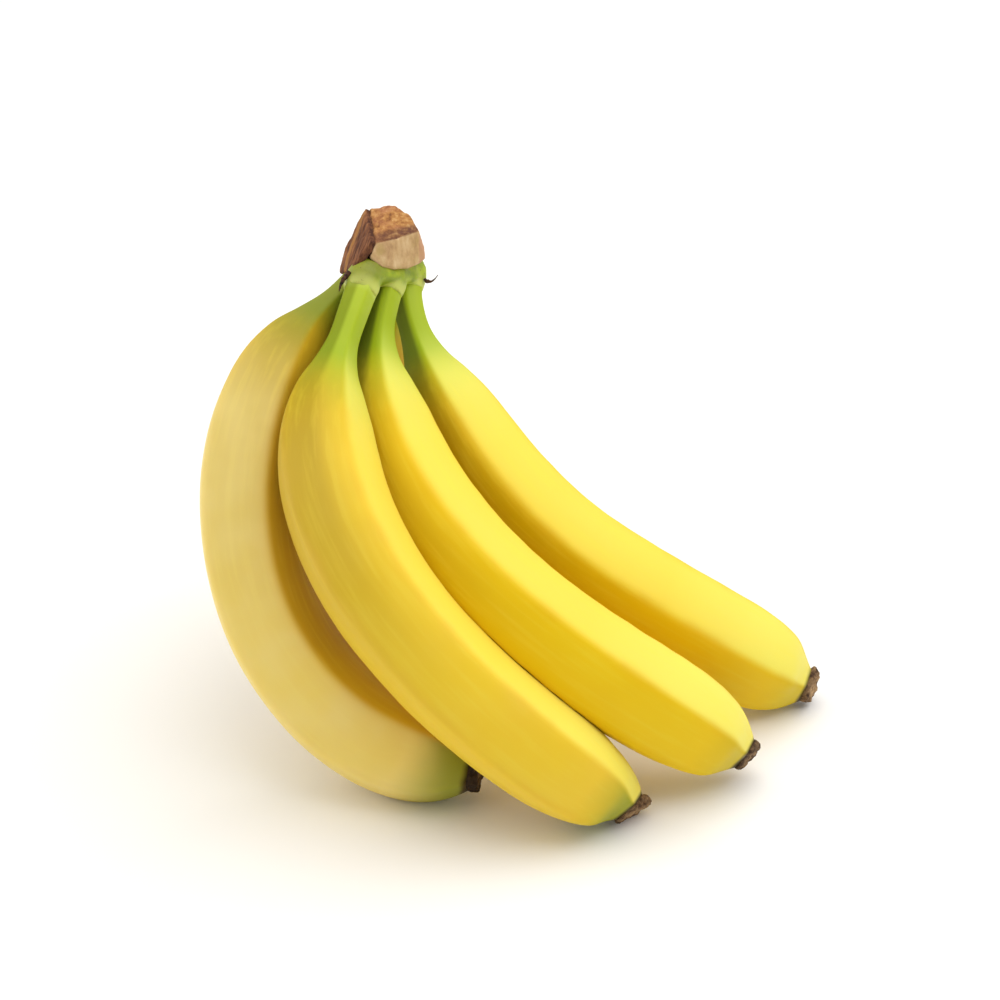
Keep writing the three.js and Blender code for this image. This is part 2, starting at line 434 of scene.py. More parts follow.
# How strong each layer of the skin is where it is strongest.
PATCH_STRENGTH = 0.3
SIDE_SHADE_STRENGTH = 0.8
FLANK_LIGHT_STRENGTH = 0.8
STREAK_STRENGTH = 0.2
OFF_RIDGE_STRENGTH, RIDGE_STRENGTH = 0.05, 0.3
THINNEST_BLOOM_AND_SHEEN = 0.7  # of the finger's own
NECK_BLOOM_AND_SHEEN = 0.15
LEFT_ON_FLANK = 0.1  # of the dusty coat and painted sheen, and of the tip's green
RIDGE_DULLNESS = 0.16
SHADE_DULLNESS = 0.35

REMNANT_BROWNS = [
    (0.3, srgb(44, 28, 18)), (0.48, srgb(92, 64, 40)),
    (0.6, srgb(138, 102, 66)), (0.75, srgb(196, 158, 112)),
]
CREST_TAN = srgb(190, 156, 114)
# Near black: dry darkening, and painted shade on the left finger's remnant, which lies in the front
# finger's shadow.
CHAR_AND_SHADE_BLACK = srgb(34, 22, 14)

BLOCK_BROWNS = [(0.3, srgb(62, 34, 22)), (0.5, srgb(112, 70, 42)), (0.7, srgb(158, 110, 66))]
TORN_GOLDS = [
    (0.3, srgb(104, 62, 32)), (0.42, srgb(150, 98, 50)),
    (0.55, srgb(180, 128, 70)), (0.72, srgb(206, 164, 108)),
]
TORN_ROSE = srgb(162, 100, 76)
RIM_BROWN = srgb(96, 58, 44)
CUT_TANS = [(0.3, srgb(176, 138, 98)), (0.5, srgb(204, 168, 122)), (0.7, srgb(222, 194, 150))]
CUT_STAIN = srgb(186, 160, 96)
CUT_BLUSH = srgb(186, 128, 104)
BLOCK_EDGE = srgb(78, 44, 32)

STRIP_BROWNS = [
    (0.3, srgb(52, 28, 20)), (0.45, srgb(96, 58, 38)),
    (0.6, srgb(134, 86, 54)), (0.75, srgb(166, 116, 74)),
]
STRIP_GOLD = srgb(172, 120, 62)
# Painted shade on the strip's side walls, which face away from its outer face.
STRIP_SIDE_SHADE = srgb(66, 36, 28)
GRAIN_STRETCH = (1, 0.12, 1)  # squeezes noise so that it runs along the strip's fibres

COLLAR_DARK = srgb(130, 150, 10)
COLLAR_LIGHT = srgb(164, 180, 26)
KNUCKLE_GREEN = srgb(210, 216, 108)
# Painted shadow that the block casts on the top of the collar.
UNDER_BLOCK_SHADE_BROWN = srgb(118, 112, 36)
COLLAR_FLECK = srgb(70, 62, 24)

THREAD_BROWNS = [(0.35, srgb(34, 20, 14)), (0.7, srgb(96, 62, 42))]
FLOOR_WHITES = [(0.3, srgb(243, 242, 240)), (0.7, srgb(247, 246, 244))]


def peel_marks(finish):
    """The sockets that place every mark on the skin."""
    marks = SimpleNamespace()
    marks.skin = finish.attribute("skin", "Vector")
    for name in ("along", "ridge", "flank", "lit"):
        setattr(marks, name, finish.attribute(name))
    marks.ripe = finish.range(marks.along, RIPE_STARTS)
    marks.cloud = finish.noise(marks.skin, size=18 * MM, detail=2)
    marks.sway = finish.times(finish.plus(marks.cloud, -0.5), RIPENING_SWAY)
    marks.streak = finish.noise(finish.stretched(marks.skin, (1, 1, 0.08)), size=2.2 * MM, detail=4)
    marks.off_flank = finish.range(marks.flank, (0, 1), to=(1, LEFT_ON_FLANK))
    # Painted shade on the side of the neck away from the light, fading out below the neck.
    unlit = finish.range(marks.lit, NECK_SHADE_LIT, to=(1, 0))
    marks.in_shade = finish.times(unlit, finish.range(marks.along, NECK_SHADE_ENDS, to=(1, 0)))
    return marks


def ripened(finish, marks, finger):
    """Green at the neck, then yellow: deeper in patches, and painted shade on the side away from the light.
    """
    body = finish.ramp(finish.plus(marks.along, marks.sway), RIPENING)
    necked = finish.mix(finish.times(marks.in_shade, finger["neck_shade"]), body, NECK_SHADE)
    patch_noise = finish.noise(marks.skin, size=30 * MM)
    patches = finish.range(patch_noise, (0.35, 0.7), to=(0, PATCH_STRENGTH))
    mottled = finish.mix(finish.times(patches, marks.ripe), necked, DEEP_YELLOW)
    # Painted shade on the side of the body away from the light.
    unlit = finish.range(marks.lit, SIDE_SHADE_LIT, to=(SIDE_SHADE_STRENGTH, 0))
    side_shade = finish.times(unlit, finish.range(marks.along, SIDE_SHADE_ENDS, to=(1, 0)))
    return finish.mix(finish.times(side_shade, marks.ripe), mottled, SIDE_SHADE_YELLOW)


def with_flank_light_and_shade(finish, marks, finger, colour):
    """Lays painted light over the upper flank, and painted shade where the flank is shaded."""
    tone = finish.ramp(marks.along, FLANK_LIGHT_AND_SHADE[finger["flank"]])
    strength = finish.range(marks.flank, (0, 1), to=(0, FLANK_LIGHT_STRENGTH))
    return finish.mix(finish.times(strength, finish.range(marks.along, FLANK_LIGHT_STARTS)), colour, tone)


def with_streaks(finish, marks, colour):
    """Lays fine pale streaks along the finger, and a deeper yellow along its ridges."""
    in_streak = finish.range(marks.streak, (0.45, 0.75), to=(0, STREAK_STRENGTH))
    streaked = finish.mix(finish.times(in_streak, marks.ripe), colour, PALE_YELLOW)
    in_cloud = finish.range(marks.cloud, (0.35, 0.65), to=(OFF_RIDGE_STRENGTH, RIDGE_STRENGTH))
    on_ridge = finish.times(marks.ridge, in_cloud)
    return finish.mix(finish.times(on_ridge, marks.ripe), streaked, RIDGE_YELLOW)


def with_bloom_and_sheen(finish, marks, finger, colour):
    """Lays a pale tan in clouds over the body, part dusty coat and part painted sheen, thinner on the flank
    and at the neck.
    """
    strength = (THINNEST_BLOOM_AND_SHEEN * finger["bloom_and_sheen"], finger["bloom_and_sheen"])
    bloom_and_sheen = finish.range(marks.cloud, (0.2, 0.8), to=strength)
    spread = finish.times(finish.range(marks.along, BLOOM_AND_SHEEN_SPREADS, to=(NECK_BLOOM_AND_SHEEN, 1)), marks.off_flank)
    return finish.mix(finish.times(bloom_and_sheen, spread), colour, BLOOM_AND_SHEEN_TAN)


def with_tip(finish, marks, finger, colour):
    """Turns the skin green near the tip, and stains it dark where the dry remnant starts."""
    near_tip = finish.plus(marks.along, finish.times(marks.sway, 0.5))
    greening = finish.range(near_tip, TIP_GREENS, to=(0, finger["tip_green"]))
    tipped = finish.mix(finish.times(greening, marks.off_flank), colour, OLIVE)
    return finish.mix(finish.range(near_tip, STAIN_STARTS), tipped, DRY_STAIN)


def wax_skin(finish, marks):
    """A soft wax gloss, duller on the ridges and in the neck's shade, over fine pores."""
    waxy = finish.range(marks.streak, (0.3, 0.8), to=(0.44, 0.54))
    on_ridge = finish.range(marks.ridge, (0, 1), to=(0, RIDGE_DULLNESS))
    dull = finish.plus(on_ridge, finish.times(marks.in_shade, SHADE_DULLNESS))
    finish.surface("Roughness", finish.plus(waxy, dull))
    pores = finish.noise(finish.stretched(marks.skin, (1, 1, 0.35)), size=0.9 * MM)
    finish.bump(pores, distance=0.05 * MM, strength=0.5)


def peel_finish(name, finger):
    """Waxy skin: green at the neck, ripe yellow along the body, green again just before the tip."""
    finish = Finish(name, roughness=0.5, specular=0.22)
    marks = peel_marks(finish)
    colour = ripened(finish, marks, finger)
    colour = with_flank_light_and_shade(finish, marks, finger, colour)
    colour = with_streaks(finish, marks, colour)
    colour = with_bloom_and_sheen(finish, marks, finger, colour)
    finish.colour(with_tip(finish, marks, finger, colour))
    wax_skin(finish, marks)
    finish.translucent(depth=2.5 * MM, shares=(1.0, 0.6, 0.1))
    return finish.material


def remnant_finish():
    """Dry brown flower remnant with tan fibres."""
    finish = Finish("dry_remnant", roughness=0.85, specular=0.25)
    fibres = finish.noise(finish.attribute("skin", "Vector"), size=0.9 * MM, detail=5, roughness=0.65)
    crested = finish.marked("crest", finish.ramp(fibres, REMNANT_BROWNS), CREST_TAN)
    finish.colour(finish.marked("char_and_shade", crested, CHAR_AND_SHADE_BLACK))
    finish.bump(fibres, distance=0.4 * MM)
    return finish.material


def torn_top(finish, torn, blotch):
    """Golden torn fibres with rosy blotches and a patchy dark rim."""
    gold = finish.ramp(torn, TORN_GOLDS)
    rosy = finish.mix(finish.range(blotch, (0.45, 0.7), to=(0, 0.5)), gold, TORN_ROSE)
    patchy_rim = finish.times(finish.attribute("rim"), finish.range(torn, (0.38, 0.75), to=(1, 0.5)))
    return finish.mix(patchy_rim, rosy, RIM_BROWN)


def knife_cut(finish, place_in, blotch):
    """Smooth tan flesh, yellowed in blotches and blushed at its right end."""
    veins = finish.noise(finish.stretched(place_in, (1, 1, 0.5)), size=3.2 * MM, detail=5, roughness=0.6)
    tan = finish.ramp(veins, CUT_TANS)
    stained = finish.mix(finish.range(blotch, (0.5, 0.7), to=(0, 0.5)), tan, CUT_STAIN)
    return finish.marked("blush", stained, CUT_BLUSH)


def block_finish():
    """The cut crown: a golden torn top with a dark rim, a smooth tan cut in front, a brown back."""
    finish = Finish("crown_flesh", roughness=0.8, specular=0.25)
    place_in = finish.position()
    torn_place = finish.stretched(place_in, (0.85, 0.55, 1))
    torn = finish.noise(torn_place, size=1.7 * MM, detail=6, roughness=0.65)
    fibres = finish.noise(finish.stretched(place_in, (1, 1, 0.2)), size=1.6 * MM, detail=4)
    blotch = finish.noise(place_in, size=7 * MM)
    back = finish.ramp(fibres, BLOCK_BROWNS)
    with_top = finish.marked("top", back, torn_top(finish, torn, blotch))
    with_cut = finish.marked("cut", with_top, knife_cut(finish, place_in, blotch))
    finish.colour(finish.marked("edge", with_cut, BLOCK_EDGE))
    finish.bump(torn, distance=0.3 * MM)
    return finish.material


def strip_finish():
    """Torn brown fibre with a golden band down its middle, and painted shade on its sides."""
    finish = Finish("torn_fibre", roughness=0.85, specular=0.2)
    grain = finish.stretched(finish.attribute("grain", "Vector"), GRAIN_STRETCH)
    fibres = finish.noise(grain, size=1.3 * MM, detail=5, roughness=0.6)
    golden = finish.marked("band", finish.ramp(fibres, STRIP_BROWNS), STRIP_GOLD)
    finish.colour(finish.marked("edge", golden, STRIP_SIDE_SHADE))
    finish.bump(fibres, distance=0.4 * MM)
    return finish.material


def collar_finish():
    """The green shoulder where the stems grow together, pale where each stem leaves it, with painted shadow
    under the block.
    """
    finish = Finish("green_collar", roughness=0.5, specular=0.4)
    cloud = finish.noise(finish.position(), size=5 * MM)
    base = finish.mix(finish.range(cloud, (0.35, 0.65)), COLLAR_DARK, COLLAR_LIGHT)
    knuckled = finish.marked("knuckle", base, KNUCKLE_GREEN)
    shaded_under_block = finish.marked("under_block_shade", knuckled, UNDER_BLOCK_SHADE_BROWN)
    grain = finish.noise(finish.position(), size=1.5 * MM)
    finish.colour(finish.mix(finish.range(grain, (0.7, 0.76)), shaded_under_block, COLLAR_FLECK))
    finish.bump(grain, distance=0.1 * MM)
    finish.translucent(depth=2 * MM, shares=(1.0, 0.2, 0.1))
    return finish.material


def thread_finish():
    """Dark dried bract and fibre."""
    finish = Finish("dark_fibre", roughness=0.8, specular=0.25)
    flecks = finish.noise(finish.position(), size=1 * MM, detail=4)
    finish.colour(finish.ramp(flecks, THREAD_BROWNS))
    finish.bump(flecks, distance=0.2 * MM)
    return finish.material


def floor_finish():
    """A pale matt table with hardly any grain."""
    finish = Finish("pale_floor", roughness=0.7, specular=0.2)
    grain = finish.noise(finish.position(), size=0.4, detail=2)
    finish.colour(finish.ramp(grain, FLOOR_WHITES))
    return finish.material


# Fingers ---

TILT_START = 0.92  # the share of a finger where its rings start to turn toward the tip's face
TIP_TILT = 0.5  # how far the last ring turns, from the middle line's way to the tip's own
STEEPEST_TILT = 0.7  # the least cosine between a ring's axis and the middle line
CRISPNESS = 0.58  # of the corners along the body
EXTRA_CRISPNESS = 0.1  # at the neck and near the tip
# Where the corners get crisper: the shares at which that starts, is full, starts to fade and ends.
CRISP_NECK = (0.08, 0.16, 0.22, 0.36)
CRISP_TIP = (0.84, 0.94, 0.96, 1.0)
TWIST = 2  # degrees that the section turns either way
TWIST_WAVE = 5  # radians of that wave along a finger
UNEVENNESS = 2.5  # degrees that a corner strays
UNEVEN_WAVE = 3  # radians of that wave along a finger
UNEVEN_SHIFT = 1.7  # radians between one finger's wave and the next's
LUMPS = (28, 0.25)  # the size of their features and their height, in millimetres
RIDGE_BUMPS = (7, 0.16)
LUMPS_START = (0.1, 0.3)  # the smooth neck's end, as shares of the finger
RIDGE_WIDTH = 7  # degrees
FLANK_ANGLE = 105  # where the upper flank is, in degrees round the middle line from outward
FLANK_EDGE = (27, 43)  # how far round from the flank's middle its tone fades and ends, in degrees
CONTACT_GAP = 0.1
NEIGHBOUR_STEPS = 160  # points tried along a neighbour's middle line
NEIGHBOUR_REACH = 1.15  # of a neighbour's girth, around its middle line
NO_DISTANCE = 1e-6  # metres; keeps a point on a neighbour's middle line from dividing by zero


def crispness_along(share):
    """Corners are crispest at the neck and where the tip narrows."""
    extra = plateau(CRISP_NECK, share) + plateau(CRISP_TIP, share)
    return CRISPNESS + EXTRA_CRISPNESS * extra


def uneven_angle(angle, share, seed):
    """Turns a little with the length, and makes the five sides not quite equal."""
    twist = math.radians(TWIST) * np.sin(TWIST_WAVE * share + seed)
    twice_round = np.sin(2 * angle + UNEVEN_SHIFT * seed)
    sides = math.radians(UNEVENNESS) * twice_round * np.sin(UNEVEN_WAVE * share + seed)
    return angle + twist + sides


def flank_strength(uneven, finger):
    """Is 1 on the facet nearest the upper flank, and on the next one round if the flank takes painted
    shade.
    """
    facet = math.tau / CORNERS
    steps = round((math.radians(FLANK_ANGLE - finger["roll"]) - facet / 2) / facet)
    widened = facet / 2 if finger["flank"] == "shaded" else 0
    off = (uneven - facet * (steps + 0.5) - widened + math.pi) % math.tau - math.pi
    return 1 - smoothstep(*FLANK_EDGE, np.degrees(np.abs(off) - widened))


def tip_offsets(offsets, shares, along, tip_faces):
    """Shears the last rings so that the tip's end faces the way its dry remnant does."""
    weight = TIP_TILT * smoothstep(TILT_START, 1.0, shares)[:, None]
    normal = unit(along * (1 - weight) + unit(tip_faces) * weight)
    slant = np.maximum(np.sum(normal * along, axis=1), STEEPEST_TILT)[:, None]
    rise = np.einsum("rcx,rx->rc", offsets, normal) / slant
    return offsets - along[:, None] * rise[:, :, None]


def finger_surface(finger, line, shares, angles, seed):
    """The peel's points at each share and angle, the marks on them, and their unbent places."""
    points, along, outward, sideways = line.frames(shares)
    share = shares[:, None]
    uneven = uneven_angle(angles, share, seed)
    radius = peel_radius(finger, share) * section(uneven, crispness_along(share))
    turned = angles + math.radians(finger["roll"])
    skin = np.stack([
        radius * np.cos(turned),
        radius * np.sin(turned),
        np.broadcast_to(share * line.length, radius.shape),
    ], axis=-1)
    to_corner = (uneven + math.pi / CORNERS) % (math.tau / CORNERS) - math.pi / CORNERS
    ridge = np.exp(-(np.degrees(to_corner) / RIDGE_WIDTH) ** 2)
    lumps = relief(skin, *LUMPS, seed)
    bumps = ridge * relief(skin, *RIDGE_BUMPS, seed + 1)
    radius = radius + (lumps + bumps) * smoothstep(*LUMPS_START, share) * MM
    offsets = radius[..., None] * ring_ways(outward, sideways, turned)
    offsets = tip_offsets(offsets, shares, along, finger["tip_faces"])
    lit = np.cos(turned - math.radians(finger["lit_from"]))
    marks = {
        "ridge": ridge,
        "flank": flank_strength(uneven, finger),
        "lit": np.broadcast_to(lit, ridge.shape),
        "along": np.broadcast_to(profile_share(finger, share), ridge.shape),
    }
    return points[:, None] + offsets, marks, skin


def press_against(points, other, other_line):
    """Flattens a peel where it would reach inside a neighbour that it touches."""
    shares = np.linspace(0, 1, NEIGHBOUR_STEPS)
    middle, _, outward, sideways = other_line.frames(shares)
    flat = points.reshape(-1, 3)
    reach = other["girth"] * MM * NEIGHBOUR_REACH
    low, high = middle.min(0) - reach, middle.max(0) + reach
    near = np.flatnonzero(np.all((flat > low) & (flat < high), axis=1))
    gap = flat[near][:, None] - middle[None]
    nearest = np.argmin(np.einsum("psx,psx->ps", gap, gap), axis=1)
    offset = gap[np.arange(len(near)), nearest]
    x = np.einsum("px,px->p", offset, outward[nearest])
    y = np.einsum("px,px->p", offset, sideways[nearest])
    share = shares[nearest]
    angle = np.arctan2(y, x) - math.radians(other["roll"])
    wall = peel_radius(other, share) * section(angle, crispness_along(share)) + CONTACT_GAP * MM
    distance = np.hypot(x, y)
    push = np.maximum(wall - distance, 0) / np.maximum(distance, NO_DISTANCE)
    aside = outward[nearest] * x[:, None] + sideways[nearest] * y[:, None]
    flat[near] += aside * push[:, None]
    return flat.reshape(points.shape)


def make_peel(key, finger, line, earlier, seed):
    """One finger's skin, pressed flat against those made earlier. Returns the ring at its tip."""
    shares = np.linspace(0, PEEL_END, RINGS)
    points, marks, skin = finger_surface(finger, line, shares, full_turn(AROUND), seed)
    for other, other_line in earlier:
        points = press_against(points, other, other_line)
    points[..., 2] = np.maximum(points[..., 2], 0)
    attributes = {
        name: np.append(mark.ravel(), [mark[0, 0], mark[-1, 0]]) for name, mark in marks.items()
    }
    attributes["skin"] = with_end_points(skin)
    material = peel_finish(f"peel_{key}", finger)
    faces = grid_faces(RINGS, AROUND)
    piece = new_piece(f"peel_{key}", with_end_points(points), faces, material, attributes)
    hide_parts(f"banana_{key}")
    return points[-1]


# Flower remnants ---

# From inside the peel, over the rim, to the pit in the middle: (share of the radius, of the height).
REMNANT_PROFILE = [
    (0.85, -0.8), (0.96, -0.2), (1.0, 0.3), (0.97, 0.7), (0.88, 0.95),
    (0.7, 1.0), (0.45, 0.9), (0.25, 0.8), (0.08, 0.9),
]
REMNANT_ROWS = 40
REMNANT_AROUND = 90
OUTER_PART = (0.3, 1.0)  # the shares of the radius over which the lobes and the spur grow
SHOWN_PART = (-0.2, 0.3)  # the shares of the height over which all roughness grows
LOBES = 5
LOBE_DEPTH = 0.04  # of the radius
LOBE_HEIGHT = 0.3
# Its lumps, as the size of their features and their height, in millimetres.
COARSE_LUMPS = (1.8, 0.5)
FINE_LUMPS = (0.8, 0.3)
LUMPS_ASIDE = 0.4  # how far the lumps stand out sideways, as a share of their height
CREST_CONTRAST = 2.4  # how fast a lump's crest turns tan as it rises
OUTER_CREST = 0.5  # how much of that tan is lost at the rim
OUTER_CHAR = 0.4  # how much blacker the rim is between the crests
MOST_CHAR = 0.9
# Each remnant: how tall its lowest side stands, in millimetres; how far its face turns from the
# rim's own way to the way the tip faces; a withered spur on its rim, as the way it points, how far
# out it reaches as a share of the radius, and how wide it is in radians; how nearly black it is,
# which on the left finger's remnant is painted shade from the front finger.
REMNANTS = {
    "1_left": {"height": 3.2, "turn": 0.4, "spur": (0, 0.3, 1), "reach": 0, "width": 0.3, "char_and_shade": 0.7},
    "2_front": {"height": 0.6, "turn": 0.5, "spur": (1, 0.3, 0), "reach": 0.2, "width": 0.45, "char_and_shade": 0},
    "3_middle": {"height": 0.6, "turn": 0.65, "spur": (1, 0, 1), "reach": 0.05, "width": 0.4, "char_and_shade": 0.3},
    "4_right": {"height": 1.2, "turn": 0.7, "spur": (0.5, 0.4, 1), "reach": 0.28, "width": 0.25, "char_and_shade": 0},
    "5_back": {"height": 1.0, "turn": 0.5, "spur": (0, -1, 0.2), "reach": 0.1, "width": 0.3, "char_and_shade": 0.3},
}


def rim_frame(rim, faces):
    """The middle of a rim of points, the way it faces, and two ways across it."""
    middle = rim.mean(0)
    quarter = len(rim) // 4
    normal = unit(np.cross(rim[quarter] - middle, rim[0] - middle))
    if normal @ np.array(faces) < 0:
        normal = -normal
    first = unit(rim[0] - middle)
    first = unit(first - normal * (first @ normal))
    return middle, normal, first, np.cross(normal, first)


def rim_radii(rim, middle, first, second, angles):
    """How far the rim is from its middle at each of the angles."""
    offset = rim - middle
    rim_angles = np.arctan2(offset @ second, offset @ first) % math.tau
    order = np.argsort(rim_angles)
    reach = np.linalg.norm(offset, axis=1)
    return np.interp(angles, rim_angles[order], reach[order], period=math.tau)


def spur_reach(remnant, angles, first, second):
    """How much further than the rim the withered spur stands at each angle."""
    way = np.array(remnant["spur"])
    off = (angles - math.atan2(way @ second, way @ first) + math.pi) % math.tau - math.pi
    return remnant["reach"] * np.exp(-((off / remnant["width"]) ** 2))


def remnant_rows():
    """The share of the radius and the share of the height at each row."""
    knots = np.linspace(0, 1, len(REMNANT_PROFILE))
    rows = np.linspace(0, 1, REMNANT_ROWS)
    return [np.interp(rows, knots, column)[:, None] for column in np.array(REMNANT_PROFILE).T]


def remnant_surface(remnant, tip_faces, rim, seed):
    """The smooth stub's points, its ways outward and onward, and how far out and how shown each is."""
    middle, normal, first, second = rim_frame(rim, tip_faces)
    angles = full_turn(REMNANT_AROUND)
    radius_share, height_share = remnant_rows()
    outer = smoothstep(*OUTER_PART, radius_share)
    shown = smoothstep(*SHOWN_PART, height_share)
    lobe = np.cos(LOBES * angles + seed)[None] * outer * shown
    spur = spur_reach(remnant, angles, first, second)[None] * outer * shown
    direction = ring_ways(first, second, angles)
    rim_radius = rim_radii(rim, middle, first, second, angles)
    radius = rim_radius[None] * (radius_share + LOBE_DEPTH * lobe + spur)
    faces_way = unit(tip_faces)
    fall = remnant["turn"] * rim_radius * (direction @ faces_way) / (normal @ faces_way)
    face_height = remnant["height"] * MM + fall.max() - radius_share * fall[None]
    height = np.where(height_share > 0, face_height, remnant["height"] * MM) * height_share
    height = height + LOBE_HEIGHT * MM * lobe
    points = middle + radius[..., None] * direction[None] + height[..., None] * normal
    return points, direction[None], normal, outer, shown


def make_remnant(key, finger, rim, seed, material):
    """The dry lumpy stub on the end of the peel, cut off square to the way the tip faces."""
    remnant = REMNANTS[key]
    points, outward, onward, outer, shown = remnant_surface(remnant, finger["tip_faces"], rim, seed)
    rough = relief(points, *COARSE_LUMPS, seed) + relief(points, *FINE_LUMPS, seed + 2)
    lumps_way = LUMPS_ASIDE * outward * outer[..., None] + onward
    points = points + lumps_way * (rough * shown)[..., None] * MM
    points[..., 2] = np.maximum(points[..., 2], 0)
    crest = np.clip(CREST_CONTRAST * rough + 0.5, 0, 1) * (1 - OUTER_CREST * outer)
    # On the left finger's remnant this blackening is painted shade from the front finger.
    char_and_shade = np.clip(remnant["char_and_shade"] + OUTER_CHAR * outer * (1 - crest), 0, MOST_CHAR)
    vertices = with_end_points(points)
    attributes = {
        "crest": np.append(crest.ravel(), [0, crest[-1].mean()]),
        "char_and_shade": np.append(char_and_shade.ravel(), [char_and_shade[0].mean(), char_and_shade[-1].mean()]),
        "skin": vertices,
    }
    faces = grid_faces(REMNANT_ROWS, REMNANT_AROUND)
    piece = new_piece(f"flower_remnant_{key}", vertices, faces, material, attributes)
    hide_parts(f"blossom_end_{key}")


# Crown ---

# The block that the knife cut: its humped top, the foot of its tan face from right to left, its back.
BLOCK_CORNERS = [
    (-44, 60, 159), (-38, 60, 160.4), (-35, 60, 160), (-30, 54, 159),
    (-27, 45, 157.5), (-34, 38, 158), (-41, 34.5, 158),
    (-25, 48, 146), (-27, 44, 146), (-31, 40, 146), (-35, 36, 147.6), (-39, 32.5, 150.2), (-43, 32, 153.6),
    (-44, 46, 144), (-48, 68, 140), (-40, 76, 139), (-26, 68, 141),
]
CUT_FACES = (0.45, -0.87, 0.2)
RIM_LINE = ((-42, 34), (-27, 44))  # the front edge of the block's top, seen from above
RIM_WIDTH = (3, 6.5)  # how far behind that edge its dark rim starts to fade and ends
RIM_AT_LEFT = 0.7  # how dark the rim is at the left end of that edge, as a share of the right end
# How squarely a normal has to face each face's way to start being on it, and to be on it fully.
TOP_NORMALS = (0.6, 0.85)
CUT_NORMALS = (-0.15, 0.2)
BLUSH_NORMALS = (0.7, 0.95)
BLUSH_STRENGTH = 0.6
BLOCK_EDGE_STRENGTH = 0.3
# Roughness, as the size of its features and its height in millimetres, and its noise's seed.
TORN_LUMPS = (3.5, 0.4, 5)
TORN_CRUMBS = (1.3, 0.24, 6)
CUT_RIPPLES = (4.5, 0.2, 7)
STRIP_FIBRES = (1.5, 0.35, 3)
STRIP_RAGS = (2.5, 0.3, 4)
COLLAR_LUMPS = (5, 0.25, 9)

# The torn strip of fibre down its left side: the corners of its outer face.
STRIP_CORNERS = [
    (-45.5, 60, 159.5), (-42.4, 34, 158.8), (-46.1, 31, 155),
    (-49.3, 29, 150), (-54, 46, 142), (-52.5, 50, 148), (-51, 66, 142),
]
STRIP_FACES = (-0.83, -0.17, 0.54)
STRIP_GRAIN = (-0.2, -0.85, -0.5)  # the way its fibres run
STRIP_DEPTH = 2
STRIP_NORMALS = (0.5, 0.9)
STRIP_BAND_SHIFT = 1.0  # how far its golden band lies to one side of its middle
STRIP_BAND_EDGE = (0.5, 2.5)  # how far from the band's middle it starts to fade and ends
STRIP_BAND_STRENGTH = 0.7
STRIP_SIDE_SHADE_STRENGTH = 0.35

# The collar's rings round each stem: (distance down from the stem's root, radius).
SLEEVE_RINGS = [(-4.5, 5.0), (-0.5, 6.1), (3, 6.0), (5.5, 5.45)]
SLEEVE_AROUND = 24
KNUCKLE_EDGE = (5.8, 8)  # how far from a stem's middle, at its lip, its paleness fades and ends
KNUCKLE_STRENGTH = 0.8
UNDER_BLOCK_SHADE = (146, 152)  # the heights between which the collar takes painted shadow, under the block
UNDER_BLOCK_SHADE_STRENGTH = 0.6

CROWN_VOXEL = 0.5
BLOCK_SMOOTHING = 3
STRIP_SMOOTHING = 2
COLLAR_SMOOTHING = 2


def hull_object(name, points):
    """The convex hull of some points, as an object."""
    shape = bmesh.new()
    for point in points:
        shape.verts.new(point)
    hull = bmesh.ops.convex_hull(shape, input=shape.verts)
    loose = set(hull["geom_interior"]) | set(hull["geom_unused"])
    bmesh.ops.delete(shape, geom=[g for g in loose if isinstance(g, bmesh.types.BMVert)], context="VERTS")
    mesh = bpy.data.meshes.new(name)
    shape.to_mesh(mesh)
    shape.free()
    return linked_object(name, mesh)


def remeshed(rough, smoothing):
    """The vertices, normals and faces of one even skin round a rough shape, which is used up."""
    remesh = rough.modifiers.new("skin", "REMESH")
    remesh.mode = "VOXEL"
    remesh.voxel_size = CROWN_VOXEL * MM
    smooth = rough.modifiers.new("soften", "SMOOTH")
    smooth.iterations = smoothing
    graph = bpy.context.evaluated_depsgraph_get()
    mesh = bpy.data.meshes.new_from_object(rough.evaluated_get(graph))
    vertices = np.array([v.co for v in mesh.vertices])
    normals = np.array([v.normal for v in mesh.vertices])
    faces = [tuple(p.vertices) for p in mesh.polygons]
    bpy.data.objects.remove(rough)
    return vertices, normals, faces


def joined(parts):
    """One rough object from several, which are used up."""
    shape = bmesh.new()
    for part in parts:
        shape.from_mesh(part.data)
    shape.to_mesh(parts[0].data)
    shape.free()
    for part in parts[1:]:
        bpy.data.objects.remove(part)
    return parts[0]


def crown_piece(name, vertices, faces, material, attributes):
    piece = new_piece(name, vertices, faces, material, attributes)
    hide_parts("crown")


def rim_strength(vertices):
    """How much each point belongs to the dark rim behind the top's front edge."""
    rim_start, rim_end = place([(*end, 0) for end in RIM_LINE])
    rim_way = unit(rim_end - rim_start)
    behind_rim = (vertices - rim_start) @ np.array([-rim_way[1], rim_way[0], 0]) / MM
    to_right = smoothstep(rim_start[0], rim_end[0], vertices[:, 0])
    return (1 - smoothstep(*RIM_WIDTH, behind_rim)) * (RIM_AT_LEFT + (1 - RIM_AT_LEFT) * to_right)


